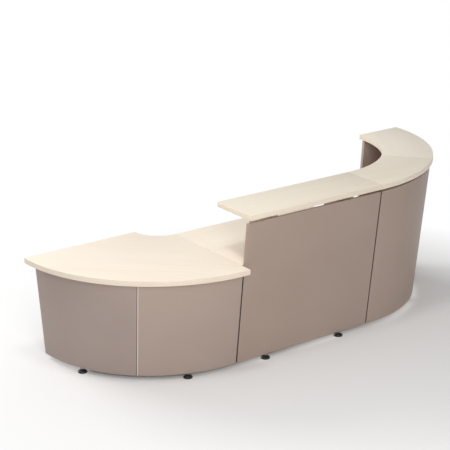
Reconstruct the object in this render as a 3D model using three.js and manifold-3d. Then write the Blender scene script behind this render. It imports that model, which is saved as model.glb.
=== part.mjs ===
// Modular reception desk: a low quarter-round module, a straight counter module and a tall
// quarter-round counter module in one row. Millimetres, +Z up, visitors stand on the -Y side.
import * as THREE from 'three';
import { mergeVertices } from 'three/addons/utils/BufferGeometryUtils.js';
import Module from 'manifold-3d';

// Plan. Radii are taken from the centre of a quarter-round module; the straight module is
// drawn with the same radii, as distances in front of the line that joins the two centres.
const STRAIGHT_LENGTH = 1120;
const TALL_PANEL_TOP_RADIUS = 1026;
const PANEL_LEAN = THREE.MathUtils.degToRad(7.35);
const LOW_PANEL_SPREAD = 42;
const TALL_PANEL_SPREAD = 50;
const PANEL_THICKNESS = 18;

// Levels
const PANEL_BOTTOM = 30;
const WORKTOP_TOP = 740;
const WORKTOP_THICKNESS = 36;
const SHELF_TOP = 1092;
const SHELF_THICKNESS = 34;
const PANEL_TO_SHELF_GAP = 22;

// Worktops and counter shelves
const FAN_OUTER_RADIUS = 1058;
const FAN_INNER_RADIUS = 204;
const SHELF_OUTER_RADIUS = 1044;
const SHELF_WIDTH = 365;
const SHELF_LEFT_INSET = 12;

// Seams between front panels, and what is left between neighbours that touch
const MODULE_SEAM = 8;
const PANEL_SEAM = 2;
const LOW_SEAM_HEADING = 41.5;
const TALL_SEAM_HEADING = 41;
const PANEL_END_SETBACK = 1;
const FIT = 0.3;

// Upright boards
const BOARD_THICKNESS = 25;
const LOW_GABLE_ANGLES = [22.5, 67.5];
const LOW_GABLE_BACK_RADIUS = 330;
const STRAIGHT_GABLE_INSET = 244;
const STRAIGHT_GABLE_BACK_RADIUS = 270;
const HIGH_GABLE_DEPTH = 300;
const HIGH_GABLE_END_SETBACK = 2;
const RISER_DEPTH = 264;
const STRETCHER_THICKNESS = 18;
const STRETCHER_HEIGHT = 220;
const STRETCHER_DROP = 60;
const STRETCHER_SETBACK = 60;

// Steel strips behind the panel seams and steel plates under the joints of the tops
const STRIP_WIDTH = 50;
const STRIP_THICKNESS = 4;
const STRIP_END_MARGIN = 12;
const PLATE_THICKNESS = 4;
const PLATE_LENGTH = 120;
const PLATE_WIDTH = 80;
const PLATE_EDGE_DISTANCE = 120;

// Levelling feet, and the blocks that take the stems of those that stand under a gable
const BLOCK_DEPTH = 24;
const BLOCK_WIDTH = 40;
const BLOCK_HEIGHT = 60;
const BACK_BLOCK_INSET = 30;
const HIGH_FRONT_BLOCK_SETBACK = 130;
const STEM_RADIUS = 4;
const STEM_LENGTH = 40;
const STEM_HOLE_CLEARANCE = 0.3;
const PAD_RADIUS = 31;
const PAD_RIM_HEIGHT = 6;
const PAD_NECK_RADIUS = 16;
const PAD_HEIGHT = 17;
const NUT_RADIUS = 8;

// Facets
const TURN_STEPS = 128;
const FOOT_STEPS = 24;

// Values that follow from the sizes above
const SHELF_UNDERSIDE = SHELF_TOP - SHELF_THICKNESS;
const WORKTOP_UNDERSIDE = WORKTOP_TOP - WORKTOP_THICKNESS;
const SHELF_INNER_RADIUS = SHELF_OUTER_RADIUS - SHELF_WIDTH;
const NOTCH_TOP = PANEL_BOTTOM + BLOCK_HEIGHT + FIT;
const QUARTER = 90;

const CENTRE_Y = Math.max(FAN_OUTER_RADIUS, SHELF_OUTER_RADIUS) / 2;
const LEFT_CENTRE_X = (FAN_OUTER_RADIUS - SHELF_OUTER_RADIUS - STRAIGHT_LENGTH) / 2;
const RIGHT_CENTRE_X = LEFT_CENTRE_X + STRAIGHT_LENGTH;

// All front panels lie in one leaning face, given by its outer and inner radius at a height.
const TALL_PANEL_TOP = SHELF_UNDERSIDE - PANEL_TO_SHELF_GAP;
const LOW_PANEL_TOP = WORKTOP_UNDERSIDE - FIT;
const outerRadius = (z) => TALL_PANEL_TOP_RADIUS - (TALL_PANEL_TOP - z) * Math.tan(PANEL_LEAN);
const innerRadius = (z) => outerRadius(z) - PANEL_THICKNESS / Math.cos(PANEL_LEAN);

// A panel up to a height. A bent panel spreads: towards its foot it is pushed sideways, away from
// the straight module, so that the end of the desk leans less than the front. Boards and strips
// behind it stand back by the depth of the bend over their reach, and by its skew.
const bendDepth = (reach) => reach * Math.tan(Math.PI / TURN_STEPS);
function leaningPanel(top, spread) {
  const rate = spread / (top - PANEL_BOTTOM);
  const push = (z) => rate * (top - z);
  const pushed = (radius, z, angle) => {
    const turn = THREE.MathUtils.degToRad(angle);
    const across = push(z) * Math.cos(turn);
    return { radius: push(z) * Math.sin(turn) + Math.sqrt(radius ** 2 - across ** 2), skew: across / radius };
  };
  const boardFront = (z, angle = 0) => {
    const reach = HIGH_GABLE_END_SETBACK + BOARD_THICKNESS;
    const { radius, skew } = pushed(innerRadius(z), z, angle);
    return radius - FIT - bendDepth(reach) - reach * skew;
  };
  const stripFront = (z) => innerRadius(z) - FIT - bendDepth(STRIP_WIDTH / 2 + push(z));
  const stemMiddle = PANEL_BOTTOM + STEM_LENGTH / 2;
  const middleRadius = (outerRadius(stemMiddle) + innerRadius(stemMiddle)) / 2;
  const footRadius = (angle = 0) => pushed(middleRadius, stemMiddle, angle).radius;
  return { top, rate, boardFront, stripFront, footRadius };
}
const lowPanel = leaningPanel(LOW_PANEL_TOP, LOW_PANEL_SPREAD);
const flatPanel = leaningPanel(TALL_PANEL_TOP, 0);
const tallPanel = leaningPanel(TALL_PANEL_TOP, TALL_PANEL_SPREAD);
const WORKTOP_FRONT_RADIUS = tallPanel.stripFront(WORKTOP_UNDERSIDE) - STRIP_THICKNESS - FIT;

// Pushes a shape sideways by the panel's spread, along a direction in plan.
function pushOut(geometry, panel, x, y) {
  const shear = new THREE.Matrix4().makeShear(0, 0, 0, 0, -panel.rate * x, -panel.rate * y);
  shear.setPosition(panel.rate * x * panel.top, panel.rate * y * panel.top, 0);
  return geometry.applyMatrix4(shear);
}

const paint = (color, roughness, metalness = 0) =>
  new THREE.MeshStandardMaterial({ color, roughness, metalness });
const maple = paint(0xf3e8d8, 0.45);
const taupe = paint(0xa3958c, 0.4);
const darkSteel = paint(0x2b2a2a, 0.45, 0.8);
const blackPlastic = paint(0x1a1a1b, 0.5);

const desk = new THREE.Group();

// A station is an upright plane that faces the visitors: x is the radius, z is up and y runs
// along the desk. Stations stand at an angle on a quarter-round module or along the straight.
function station(centreX, heading) {
  const group = new THREE.Group();
  group.position.set(centreX, CENTRE_Y, 0);
  group.rotation.z = THREE.MathUtils.degToRad(heading - QUARTER);
  desk.add(group);
  return group;
}
const leftStation = (angle) => station(LEFT_CENTRE_X, -angle);
const rightStation = (angle) => station(RIGHT_CENTRE_X, angle);
const straightStation = (distance) => station(LEFT_CENTRE_X + distance, 0);

function add(parent, name, geometry, material) {
  const mesh = new THREE.Mesh(geometry, material);
  mesh.name = name;
  parent.add(mesh);
  return mesh;
}

const shapeOf = (points) => new THREE.Shape(points.map(([x, y]) => new THREE.Vector2(x, y)));

// A board standing in a station: its outline is in radius and height, its thickness along y.
function uprightBoard(outline, thickness, y = 0) {
  const geometry = new THREE.ExtrudeGeometry(shapeOf(outline), { depth: thickness, bevelEnabled: false });
  geometry.rotateX(Math.PI / 2);
  geometry.translate(0, y + thickness / 2, 0);
  return geometry;
}

// A board lying flat, from its plan outline.
function flatBoard(shape, underside, thickness) {
  const options = { depth: thickness, bevelEnabled: false, curveSegments: TURN_STEPS / 8 };
  const geometry = new THREE.ExtrudeGeometry(shape, options);
  geometry.translate(0, 0, underside);
  return geometry;
}

function rectangle(x0, x1, y0, y1) {
  return shapeOf([[x0, y0], [x1, y0], [x1, y1], [x0, y1]]);
}

// Part of a ring between two headings, where 0 faces the visitors and + turns towards +X.
function ringSector(innerRadius, outerRadius, fromHeading, toHeading) {
  const from = THREE.MathUtils.degToRad(fromHeading - QUARTER);
  const to = THREE.MathUtils.degToRad(toHeading - QUARTER);
  const middle = (from + to) / 2;
  const shape = new THREE.Shape();
  if (toHeading - fromHeading > QUARTER / 2) {
    shape.absarc(0, 0, outerRadius, from, middle, false);
    shape.absarc(0, 0, outerRadius, middle, to, false);
    shape.absarc(0, 0, innerRadius, to, middle, true);
    shape.absarc(0, 0, innerRadius, middle, from, true);
  } else {
    shape.absarc(0, 0, outerRadius, from, to, false);
    shape.absarc(0, 0, innerRadius, to, from, true);
  }
  return shape;
}

const wasm = await Module();
wasm.setup();

function solidOf(geometry) {
  const bare = geometry.clone();
  bare.deleteAttribute('normal');
  bare.deleteAttribute('uv');
  const merged = mergeVertices(bare);
  const mesh = new wasm.Mesh({
    numProp: 3,
    vertProperties: new Float32Array(merged.attributes.position.array),
    triVerts: new Uint32Array(merged.index.array),
  });
  return new wasm.Manifold(mesh);
}

function geometryOf(solid) {
  const mesh = solid.getMesh();
  const geometry = new THREE.BufferGeometry();
  geometry.setAttribute('position', new THREE.BufferAttribute(mesh.vertProperties, 3));
  geometry.setIndex(new THREE.BufferAttribute(mesh.triVerts, 1));
  return geometry;
}

// The leaning panel section, in radius and height.
function panelSection(panel) {
  return [
    [innerRadius(PANEL_BOTTOM), PANEL_BOTTOM],
    [outerRadius(PANEL_BOTTOM), PANEL_BOTTOM],
    [outerRadius(panel.top), panel.top],
    [innerRadius(panel.top), panel.top],
  ];
}

// A wedge between two headings, each cut back by half a seam.
function headingWedge(fromHeading, toHeading) {
  const near = TALL_PANEL_TOP_RADIUS / 2;
  const far = TALL_PANEL_TOP_RADIUS * 2;
  const corner = (heading, setback, along) => {
    const turn = THREE.MathUtils.degToRad(heading - QUARTER);
    return [
      along * Math.cos(turn) - setback * Math.sin(turn),
      along * Math.sin(turn) + setback * Math.cos(turn),
    ];
  };
  const plan = shapeOf([
    corner(fromHeading, PANEL_SEAM / 2, near),
    corner(fromHeading, PANEL_SEAM / 2, far),
    corner(toHeading, -PANEL_SEAM / 2, far),
    corner(toHeading, -PANEL_SEAM / 2, near),
  ]);
  return flatBoard(plan, 0, SHELF_TOP);
}

// A bent panel is part of a cone, pushed out to its side: the leaning section turned about the
// module's centre and cut by a wedge. Upright cuts part it from the straight module and end it.
function bentPanel(panel, side, wedge) {
  const section = panelSection(panel);
  const profile = [...section, section[0]].map(([r, z]) => new THREE.Vector2(r, z));
  const ring = new THREE.LatheGeometry(profile, TURN_STEPS);
  ring.rotateX(Math.PI / 2);
  const far = TALL_PANEL_TOP_RADIUS * 2;
  const quarter = rectangle(side * MODULE_SEAM / 2, side * far, -far, -PANEL_END_SETBACK);
  return solidOf(pushOut(ring, panel, side, 0))
    .intersect(solidOf(wedge))
    .intersect(solidOf(flatBoard(quarter, 0, SHELF_TOP)));
}

// The hole in the bottom edge of a panel for the stem of a foot.
function stemHole(x, y) {
  const radius = STEM_RADIUS + STEM_HOLE_CLEARANCE;
  const length = STEM_LENGTH + FIT;
  const hole = new THREE.CylinderGeometry(radius, radius, 2 * length, FOOT_STEPS);
  hole.rotateX(Math.PI / 2);
  hole.translate(x, y, PANEL_BOTTOM);
  return solidOf(hole);
}

// Worktops: a quarter-round fan, and a straight board behind the tall panel.
const leftModule = station(LEFT_CENTRE_X, QUARTER);
const rightModule = station(RIGHT_CENTRE_X, QUARTER);
const straightModule = straightStation(0);

const fanPlan = ringSector(FAN_INNER_RADIUS, FAN_OUTER_RADIUS, -QUARTER, 0);
add(leftModule, 'fan_worktop', flatBoard(fanPlan, WORKTOP_UNDERSIDE, WORKTOP_THICKNESS), maple);
const worktopPlan = rectangle(FAN_INNER_RADIUS, WORKTOP_FRONT_RADIUS, FIT, STRAIGHT_LENGTH);
add(straightModule, 'straight_worktop',
  flatBoard(worktopPlan, WORKTOP_UNDERSIDE, WORKTOP_THICKNESS), maple);

// Counter shelves: one straight board and two bent ones, joined over the middle gable.
const shelfPlan = rectangle(SHELF_INNER_RADIUS, SHELF_OUTER_RADIUS, SHELF_LEFT_INSET, STRAIGHT_LENGTH - FIT);
add(straightModule, 'counter_shelf_straight', flatBoard(shelfPlan, SHELF_UNDERSIDE, SHELF_THICKNESS), maple);
const shelfJoint = THREE.MathUtils.radToDeg(FIT / SHELF_INNER_RADIUS);
const curvedShelves = [
  ['counter_shelf_curved_inner', 0, TALL_SEAM_HEADING],
  ['counter_shelf_curved_end', TALL_SEAM_HEADING + shelfJoint, QUARTER],
];
for (const [name, from, to] of curvedShelves) {
  const plan = ringSector(SHELF_INNER_RADIUS, SHELF_OUTER_RADIUS, from, to);
  add(rightModule, name, flatBoard(plan, SHELF_UNDERSIDE, SHELF_THICKNESS), maple);
}

// Front panels: bent ones on the quarter-round modules, a flat one between them. The seam of the
// low module follows the spread of its panels; the seam of the tall module lies along its gable.
const LEFT = -1;
const RIGHT = 1;
const BEYOND = QUARTER / 2;
const [innerAngle, endAngle] = LOW_GABLE_ANGLES;
const lowPanels = [
  ['low_panel_end', headingWedge(-QUARTER - BEYOND, -LOW_SEAM_HEADING), endAngle],
  ['low_panel_inner', headingWedge(-LOW_SEAM_HEADING, BEYOND), innerAngle],
];
for (const [name, wedge, angle] of lowPanels) {
  const turn = THREE.MathUtils.degToRad(angle);
  const footRadius = lowPanel.footRadius(angle);
  const hole = stemHole(-footRadius * Math.sin(turn), -footRadius * Math.cos(turn));
  const panel = bentPanel(lowPanel, LEFT, pushOut(wedge, lowPanel, LEFT, 0));
  add(leftModule, name, geometryOf(panel.subtract(hole)), taupe);
}
const tallPanels = [
  ['tall_panel_inner', headingWedge(-BEYOND, TALL_SEAM_HEADING)],
  ['tall_panel_end', headingWedge(TALL_SEAM_HEADING, QUARTER + BEYOND)],
];
for (const [name, wedge] of tallPanels) {
  add(rightModule, name, geometryOf(bentPanel(tallPanel, RIGHT, wedge)), taupe);
}
const straightGables = [
  ['straight_left', STRAIGHT_GABLE_INSET],
  ['straight_right', STRAIGHT_LENGTH - STRAIGHT_GABLE_INSET],
];
const flatPanelLength = STRAIGHT_LENGTH - MODULE_SEAM;
let straightPanel = solidOf(uprightBoard(panelSection(flatPanel), flatPanelLength, STRAIGHT_LENGTH / 2));
for (const [, distance] of straightGables) {
  straightPanel = straightPanel.subtract(stemHole(flatPanel.footRadius(), distance));
}
add(straightModule, 'straight_panel', geometryOf(straightPanel), taupe);

// Notch in the bottom edge of a board for a foot block centred on a radius.
function blockNotch(radius) {
  const front = radius + BLOCK_DEPTH / 2 + FIT;
  const back = radius - BLOCK_DEPTH / 2 - FIT;
  return [[front, PANEL_BOTTOM], [front, NOTCH_TOP], [back, NOTCH_TOP], [back, PANEL_BOTTOM]];
}

// A levelling foot: pad, neck, lock nut that stops under the block, and the stem.
function footProfile() {
  const nutTop = PANEL_BOTTOM - FIT;
  const stemTop = PANEL_BOTTOM + STEM_LENGTH;
  return [
    [0, 0],
    [PAD_RADIUS, 0],
    [PAD_RADIUS, PAD_RIM_HEIGHT],
    [PAD_NECK_RADIUS, PAD_HEIGHT],
    [NUT_RADIUS, PAD_HEIGHT],
    [NUT_RADIUS, nutTop],
    [STEM_RADIUS, nutTop],
    [STEM_RADIUS, stemTop],
    [0, stemTop],
  ].map(([r, z]) => new THREE.Vector2(r, z));
}

// A foot, and a block for its stem, at a radius in a station.
function addFoot(parent, name, radius, y) {
  const foot = new THREE.LatheGeometry(footProfile(), FOOT_STEPS);
  foot.rotateX(Math.PI / 2);
  foot.translate(radius, y, 0);
  add(parent, `levelling_foot_${name}`, foot, blackPlastic);
}
function addFootBlock(parent, name, radius, y) {
  const halfDepth = BLOCK_DEPTH / 2;
  const halfWidth = BLOCK_WIDTH / 2;
  const plan = rectangle(radius - halfDepth, radius + halfDepth, y - halfWidth, y + halfWidth);
  const hole = new THREE.Path();
  hole.absarc(radius, y, STEM_RADIUS + STEM_HOLE_CLEARANCE, 0, 2 * Math.PI, true);
  plan.holes.push(hole);
  const block = new THREE.ExtrudeGeometry(plan, {
    depth: BLOCK_HEIGHT, bevelEnabled: false, curveSegments: FOOT_STEPS,
  });
  block.translate(0, 0, PANEL_BOTTOM);
  add(parent, `foot_block_${name}`, block, blackPlastic);
}

// A gable under a worktop, behind a panel. Its front foot stands under the panel.
function addWorktopGable(parent, name, panel, angle, backRadius) {
  const top = WORKTOP_UNDERSIDE - FIT;
  const backBlock = backRadius + BACK_BLOCK_INSET + BLOCK_DEPTH / 2;
  const outline = [
    [panel.boardFront(top, angle), top],
    [panel.boardFront(PANEL_BOTTOM, angle), PANEL_BOTTOM],
    ...blockNotch(backBlock),
    [backRadius, PANEL_BOTTOM],
    [backRadius, top],
  ];
  add(parent, `gable_${name}`, uprightBoard(outline, BOARD_THICKNESS), taupe);
  addFoot(parent, `${name}_front`, panel.footRadius(angle), 0);
  addFootBlock(parent, `${name}_back`, backBlock, 0);
  addFoot(parent, `${name}_back`, backBlock, 0);
}

const lowGables = [['low_inner', innerAngle], ['low_end', endAngle]];
for (const [name, angle] of lowGables) {
  addWorktopGable(leftStation(angle), name, lowPanel, angle, LOW_GABLE_BACK_RADIUS);
}
for (const [name, distance] of straightGables) {
  addWorktopGable(straightStation(distance), name, flatPanel, 0, STRAIGHT_GABLE_BACK_RADIUS);
}

// Risers stand on the straight worktop above its gables and carry the straight shelf.
const riserBottom = WORKTOP_TOP + FIT;
const riserTop = SHELF_UNDERSIDE - FIT;
const riserOutline = [
  [flatPanel.boardFront(riserBottom), riserBottom],
  [flatPanel.boardFront(riserTop), riserTop],
  [flatPanel.boardFront(riserTop) - RISER_DEPTH, riserTop],
  [flatPanel.boardFront(riserBottom) - RISER_DEPTH, riserBottom],
];
for (const [name, distance] of straightGables) {
  add(straightModule, `riser_${name}`, uprightBoard(riserOutline, BOARD_THICKNESS, distance), taupe);
}

// Gables of the tall quarter-round module reach from the feet to the shelf; both edges lean.
function addTallGable(heading, name, y, footY) {
  const parent = rightStation(heading);
  const top = SHELF_UNDERSIDE - FIT;
  const front = (z) => tallPanel.boardFront(z, heading);
  const back = (z) => front(z) - HIGH_GABLE_DEPTH;
  const frontBlock = front(PANEL_BOTTOM) - HIGH_FRONT_BLOCK_SETBACK;
  const backBlock = back(PANEL_BOTTOM) + BACK_BLOCK_INSET + BLOCK_DEPTH / 2;
  const outline = [
    [front(top), top],
    [front(PANEL_BOTTOM), PANEL_BOTTOM],
    ...blockNotch(frontBlock),
    ...blockNotch(backBlock),
    [back(PANEL_BOTTOM), PANEL_BOTTOM],
    [back(top), top],
  ];
  add(parent, `gable_${name}`, uprightBoard(outline, BOARD_THICKNESS, y), taupe);
  for (const [end, radius] of [['front', frontBlock], ['back', backBlock]]) {
    addFootBlock(parent, `${name}_${end}`, radius, footY);
    addFoot(parent, `${name}_${end}`, radius, footY);
  }
}
addTallGable(TALL_SEAM_HEADING, 'tall_middle', 0, 0);
const endGableY = -HIGH_GABLE_END_SETBACK - BOARD_THICKNESS / 2;
const endFootY = -HIGH_GABLE_END_SETBACK - PAD_RADIUS;
addTallGable(QUARTER, 'tall_end', endGableY, endFootY);

// A stretcher board between the straight gables, behind the panel.
const stretcherTop = WORKTOP_UNDERSIDE - STRETCHER_DROP;
const stretcherFront = flatPanel.boardFront(stretcherTop - STRETCHER_HEIGHT) - STRETCHER_SETBACK;
const stretcherEnd = STRAIGHT_GABLE_INSET + BOARD_THICKNESS / 2 + FIT;
const stretcherPlan = rectangle(
  stretcherFront - STRETCHER_THICKNESS, stretcherFront, stretcherEnd, STRAIGHT_LENGTH - stretcherEnd);
add(straightModule, 'stretcher_board',
  flatBoard(stretcherPlan, stretcherTop - STRETCHER_HEIGHT, STRETCHER_HEIGHT), taupe);

// Steel strips that join neighbouring panels from behind, along the seam.
function seamStrip(panelTop, front) {
  const bottom = PANEL_BOTTOM + STRIP_END_MARGIN;
  const top = panelTop - STRIP_END_MARGIN;
  const outline = [
    [front(bottom) - STRIP_THICKNESS, bottom],
    [front(bottom), bottom],
    [front(top), top],
    [front(top) - STRIP_THICKNESS, top],
  ];
  return uprightBoard(outline, STRIP_WIDTH);
}
const lowSeamTurn = THREE.MathUtils.degToRad(LOW_SEAM_HEADING);
const lowStrip = seamStrip(LOW_PANEL_TOP, flatPanel.stripFront);
pushOut(lowStrip, lowPanel, Math.sin(lowSeamTurn), -Math.cos(lowSeamTurn));
add(leftStation(LOW_SEAM_HEADING), 'seam_strip_low', lowStrip, darkSteel);
const leftStrip = seamStrip(LOW_PANEL_TOP, lowPanel.stripFront);
add(straightStation(0), 'seam_strip_left', leftStrip, darkSteel);
const rightStrip = seamStrip(TALL_PANEL_TOP, tallPanel.stripFront);
add(straightStation(STRAIGHT_LENGTH), 'seam_strip_right', rightStrip, darkSteel);

// Steel plates that join the tops from below, across their butt joints.
function addJoiningPlate(name, distance, radius, topUnderside) {
  const plan = rectangle(
    radius - PLATE_WIDTH / 2, radius + PLATE_WIDTH / 2, -PLATE_LENGTH / 2, PLATE_LENGTH / 2);
  const underside = topUnderside - FIT - PLATE_THICKNESS;
  add(straightStation(distance), `joining_plate_${name}`,
    flatBoard(plan, underside, PLATE_THICKNESS), darkSteel);
}
addJoiningPlate('worktop_front', 0, WORKTOP_FRONT_RADIUS - PLATE_EDGE_DISTANCE, WORKTOP_UNDERSIDE);
addJoiningPlate('worktop_back', 0, FAN_INNER_RADIUS + PLATE_EDGE_DISTANCE, WORKTOP_UNDERSIDE);
addJoiningPlate('shelf', STRAIGHT_LENGTH, (SHELF_INNER_RADIUS + SHELF_OUTER_RADIUS) / 2, SHELF_UNDERSIDE);

export default desk;
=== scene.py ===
from math import cos, pi, radians, sin, sqrt, tan

import bmesh
import bpy
from mathutils import Matrix, Vector


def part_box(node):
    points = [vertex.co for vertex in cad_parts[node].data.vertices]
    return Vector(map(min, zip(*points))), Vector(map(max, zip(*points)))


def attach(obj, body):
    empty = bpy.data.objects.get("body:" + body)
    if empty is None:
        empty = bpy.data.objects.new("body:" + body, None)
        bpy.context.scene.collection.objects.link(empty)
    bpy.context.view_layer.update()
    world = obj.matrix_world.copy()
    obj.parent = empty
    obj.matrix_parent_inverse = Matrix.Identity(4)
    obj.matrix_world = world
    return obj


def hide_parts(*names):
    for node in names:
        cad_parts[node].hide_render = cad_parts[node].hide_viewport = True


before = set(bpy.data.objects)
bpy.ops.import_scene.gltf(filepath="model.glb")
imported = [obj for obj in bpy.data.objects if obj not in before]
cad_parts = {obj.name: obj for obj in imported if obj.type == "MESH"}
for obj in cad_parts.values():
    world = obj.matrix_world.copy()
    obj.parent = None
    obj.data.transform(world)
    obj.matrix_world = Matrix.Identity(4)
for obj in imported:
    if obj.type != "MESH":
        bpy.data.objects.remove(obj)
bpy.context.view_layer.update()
scene = bpy.context.scene
scene.view_settings.view_transform = "Standard"


# Levelling feet: a glossy black moulded pad that swivels on a zinc-plated stem with a rolled
# thread and a hexagonal lock nut. The stem screws up into the bottom edge of a front panel, or into a
# block in a gable, and runs down out of it to level the desk.
PAD_RADIUS = 0.031
PAD_RIM = 0.006
PAD_DOME = ((0.0303, 0.0078), (0.0285, 0.0103), (0.0252, 0.0130), (0.0212, 0.0154), (0.0160, 0.0170))
COLLAR_RADIUS = 0.0072
NUT_RADIUS = 0.008
NUT_CHAMFER = 0.0012
NUT_BOTTOM = 0.0212
NUT_TOP = 0.0297
NUT_CORNER_HEIGHT = 0.84
PAD_EDGE_RADIUS = 0.0009
NUT_EDGE_RADIUS = 0.0003
SQUARE_ON = 0.9
THREAD_ROOT = 0.0034
THREAD_CREST = 0.0040
THREAD_PITCH = 0.00125
THREAD_TURNS = 32
FOOT_HEADINGS = {
    "low_end": -67.5, "low_inner": -22.5, "straight_left": 0.0,
    "straight_right": 0.0, "tall_middle": 41.0, "tall_end": 90.0,
}


def start(shape, name, stretch=(1, 1, 1), **size):
    """Adds a primitive as the only selected object."""
    bpy.ops.object.select_all(action="DESELECT")
    getattr(bpy.ops.mesh, f"primitive_{shape}_add")(**size)
    piece = bpy.context.object
    piece.name = name
    piece.data.name = name
    piece.scale = stretch
    bpy.ops.object.transform_apply(location=True, rotation=True, scale=True)
    return piece


def shape_up(piece):
    """Opens a piece for editing with nothing selected on it."""
    bpy.ops.object.select_all(action="DESELECT")
    piece.select_set(True)
    bpy.context.view_layer.objects.active = piece
    bpy.ops.object.mode_set(mode="EDIT")
    bpy.ops.mesh.select_all(action="DESELECT")


def done():
    bpy.ops.object.mode_set(mode="OBJECT")


def choose(kind, test):
    """Selects the faces, edges or corners whose middle and direction pass a test."""
    bpy.ops.mesh.select_mode(type=kind)
    bpy.ops.mesh.select_all(action="DESELECT")
    mesh = bpy.context.object.data
    shell = bmesh.from_edit_mesh(mesh)
    if kind == "FACE":
        found = [f for f in shell.faces if test(f.calc_center_median(), f.normal)]
    elif kind == "EDGE":
        found = [e for e in shell.edges
                 if test((e.verts[0].co + e.verts[1].co) / 2, e.verts[1].co - e.verts[0].co)]
    else:
        found = [v for v in shell.verts if test(v.co, v.normal)]
    for part in found:
        part.select_set(True)
    shell.select_flush_mode()
    bmesh.update_edit_mesh(mesh)


def soften(piece, width, segments=2, limit=30):
    """Rounds every edge sharper than the limit, and shades the rest smooth."""
    bevel = piece.modifiers.new("edges", "BEVEL")
    bevel.width = width
    bevel.segments = segments
    bevel.limit_method = "ANGLE"
    bevel.angle_limit = radians(limit)
    use_modifier(piece, bevel)
    bpy.ops.object.shade_smooth_by_angle(angle=radians(40))


def use_modifier(piece, modifier):
    bpy.ops.object.select_all(action="DESELECT")
    piece.select_set(True)
    bpy.context.view_layer.objects.active = piece
    bpy.ops.object.modifier_apply(modifier=modifier.name)


def copy_to(model, name, place, heading=0.0):
    """A copy of a model with its own mesh, turned to a heading and set down at a place."""
    piece = model.copy()
    piece.data = model.data.copy()
    piece.name = name
    piece.data.name = name
    scene.collection.objects.link(piece)
    piece.data.transform(Matrix.Translation(place) @ Matrix.Rotation(radians(heading), 4, "Z"))
    return piece


def put_away(*models):
    for model in models:
        bpy.data.objects.remove(model)


def colour(red, green, blue):
    """A colour as the eye sees it, 0 to 255, in the linear values that a shader takes."""
    linear = [((c / 255 + 0.055) / 1.055) ** 2.4 if c > 10 else c / 3294.6 for c in (red, green, blue)]
    return (*linear, 1.0)


def add_group(name, inputs, outputs):
    """An empty shader node group with float or vector inputs and float outputs."""
    group = bpy.data.node_groups.new(name, "ShaderNodeTree")
    for label, kind in inputs:
        group.interface.new_socket(label, in_out="INPUT", socket_type=kind)
    for label in outputs:
        group.interface.new_socket(label, in_out="OUTPUT", socket_type="NodeSocketFloat")
    return group, group.nodes.new("NodeGroupInput"), group.nodes.new("NodeGroupOutput")


# Cloud is a slow change of tone across a surface, Grain the fine texture that a mould or a
# coating leaves in it.
moulded, group_in, group_out = add_group(
    "surface_texture",
    [("Vector", "NodeSocketVector"), ("Cloud Scale", "NodeSocketFloat"), ("Grain Scale", "NodeSocketFloat")],
    ["Cloud", "Grain"],
)
for label, detail in (("Cloud", 3.0), ("Grain", 2.0)):
    noise = moulded.nodes.new("ShaderNodeTexNoise")
    noise.inputs["Detail"].default_value = detail
    moulded.links.new(group_in.outputs["Vector"], noise.inputs["Vector"])
    moulded.links.new(group_in.outputs[f"{label} Scale"], noise.inputs["Scale"])
    moulded.links.new(noise.outputs["Fac"], group_out.inputs[label])


def add_material(name):
    material = bpy.data.materials.new(name)
    material.use_nodes = True
    tree = material.node_tree
    return material, tree.nodes, tree.links, tree.nodes["Principled BSDF"]


def spread(nodes, links, source, low, high, to_low, to_high, target):
    """Feeds a socket with a value stretched from one range to another."""
    stretch = nodes.new("ShaderNodeMapRange")
    for label, value in (("From Min", low), ("From Max", high), ("To Min", to_low), ("To Max", to_high)):
        stretch.inputs[label].default_value = value
    links.new(source, stretch.inputs["Value"])
    links.new(stretch.outputs["Result"], target)


def coat(name, dark, light, rough, cloud_scale, grain_scale, bump, metallic=0.0, gloss=0.5):
    """A moulded, painted or plated finish: two close tones, a fine grain in gloss and relief."""
    material, nodes, links, shader = add_material(name)
    place = nodes.new("ShaderNodeTexCoord")
    texture = nodes.new("ShaderNodeGroup")
    texture.node_tree = moulded
    texture.inputs["Cloud Scale"].default_value = cloud_scale
    texture.inputs["Grain Scale"].default_value = grain_scale
    links.new(place.outputs["Object"], texture.inputs["Vector"])
    tone = nodes.new("ShaderNodeMix")
    tone.data_type = "RGBA"
    tone.inputs["A"].default_value = dark
    tone.inputs["B"].default_value = light
    spread(nodes, links, texture.outputs["Cloud"], 0.3, 0.7, 0.0, 1.0, tone.inputs["Factor"])
    links.new(tone.outputs["Result"], shader.inputs["Base Color"])
    spread(nodes, links, texture.outputs["Grain"], 0.3, 0.7, rough[0], rough[1], shader.inputs["Roughness"])
    relief = nodes.new("ShaderNodeBump")
    relief.inputs["Strength"].default_value = bump
    relief.inputs["Distance"].default_value = 0.0004
    links.new(texture.outputs["Grain"], relief.inputs["Height"])
    links.new(relief.outputs["Normal"], shader.inputs["Normal"])
    shader.inputs["Metallic"].default_value = metallic
    shader.inputs["Specular IOR Level"].default_value = gloss
    return material


pad_black = coat("pad_black", colour(17, 17, 18), colour(26, 26, 27), (0.24, 0.36), 60, 900, 0.10)
zinc = coat("zinc_plating", colour(140, 141, 143), colour(172, 172, 170), (0.24, 0.42), 90, 1400, 0.12, 1.0)

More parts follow.
